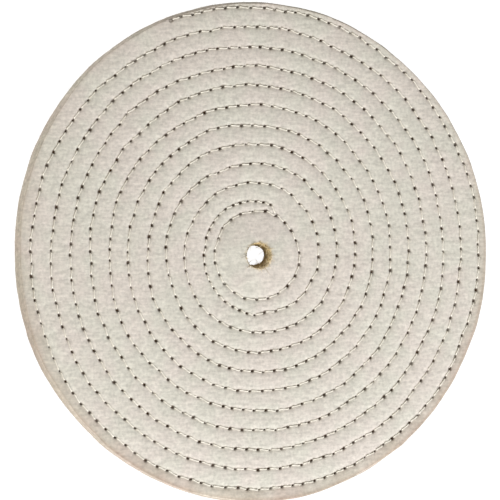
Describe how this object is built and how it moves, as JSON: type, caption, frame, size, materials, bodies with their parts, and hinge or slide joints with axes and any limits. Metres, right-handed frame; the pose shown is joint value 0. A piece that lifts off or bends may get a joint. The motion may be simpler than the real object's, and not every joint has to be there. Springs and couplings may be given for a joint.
{
  "type": "polishing wheel",
  "caption": "Round flat polishing wheel of stacked cloth discs, sewn through with a closed circle and a long spiral of lockstitch, with a plain punched spindle hole.",
  "frame": {"origin": "on the spindle hole's axis, halfway through the stack of cloth", "axes": "+Z along the spindle hole, out of the face that the needle thread lies on; +Y towards the wider side of the wheel, where the rim stands 2.6 mm further from the hole than halfway"},
  "size_m": [0.254, 0.254, 0.0108],
  "materials": {
    "sheeting": "unbleached cotton sheeting, matt with a soft nap",
    "thread": "plied cotton sewing thread, matt"
  },
  "bodies": {
    "wheel": {"ply_01": "sheeting", "ply_02": "sheeting", "ply_03": "sheeting", "ply_04": "sheeting", "ply_05": "sheeting", "ply_06": "sheeting", "ply_07": "sheeting", "ply_08": "sheeting", "ply_09": "sheeting", "ply_10": "sheeting", "ply_11": "sheeting", "ply_12": "sheeting", "ply_13": "sheeting", "ply_14": "sheeting", "ply_15": "sheeting", "ply_16": "sheeting", "ply_17": "sheeting", "ply_18": "sheeting", "ply_19": "sheeting", "ply_20": "sheeting", "ply_21": "sheeting", "ply_22": "sheeting", "ply_23": "sheeting", "ply_24": "sheeting", "ply_25": "sheeting", "ply_26": "sheeting", "ply_27": "sheeting", "ply_28": "sheeting", "ply_29": "sheeting", "ply_30": "sheeting", "ply_31": "sheeting", "ply_32": "sheeting", "ply_33": "sheeting", "ply_34": "sheeting", "ply_35": "sheeting", "ply_36": "sheeting", "ply_37": "sheeting", "ply_38": "sheeting", "ply_39": "sheeting", "ply_40": "sheeting", "needle_thread": "thread", "bobbin_thread": "thread", "stitch_legs": "thread"}
  },
  "joints": []
}
